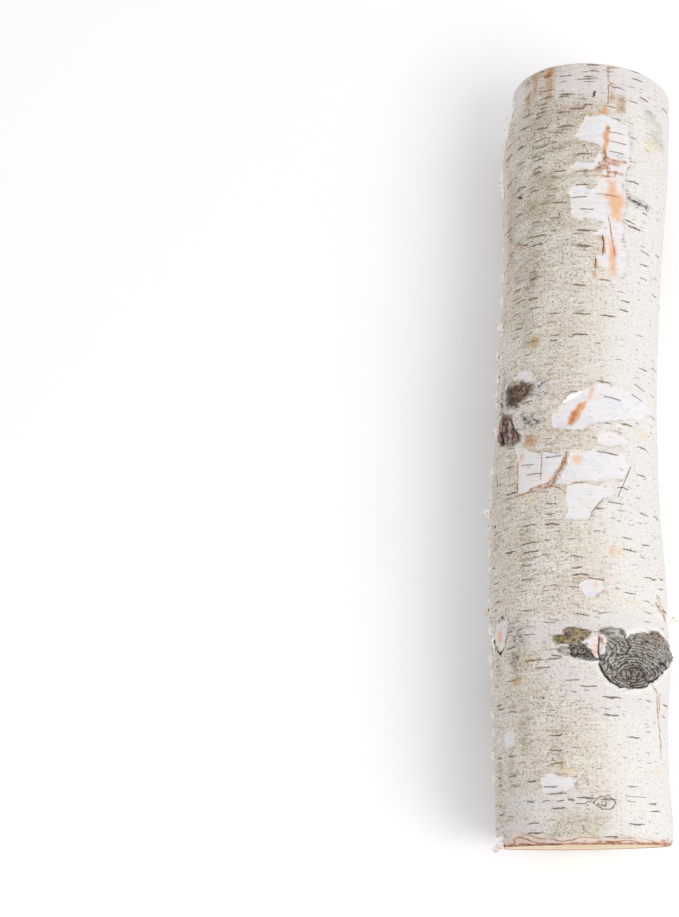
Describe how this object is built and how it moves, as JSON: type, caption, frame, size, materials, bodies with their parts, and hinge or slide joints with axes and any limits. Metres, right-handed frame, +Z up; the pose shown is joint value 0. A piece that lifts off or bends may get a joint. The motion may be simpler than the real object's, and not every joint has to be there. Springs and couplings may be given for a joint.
{
  "type": "birch log",
  "caption": "Short round of paper birch in its white peeling bark, sawn across at both ends, for a fireplace, rustic display or timber stack.",
  "frame": {"origin": "middle of the footprint, on the floor that the log lies on", "axes": "+Y along the log from the near cut to the far cut, +X across it, +Z up"},
  "size_m": [0.094, 0.4178, 0.0887],
  "materials": {
    "birch_bark": "papery white outer bark, matt, with dark lenticels and knots",
    "sawn_wood": "sawn end grain, matt"
  },
  "bodies": {
    "root": {"birch_log": "birch_bark"}
  },
  "joints": []
}
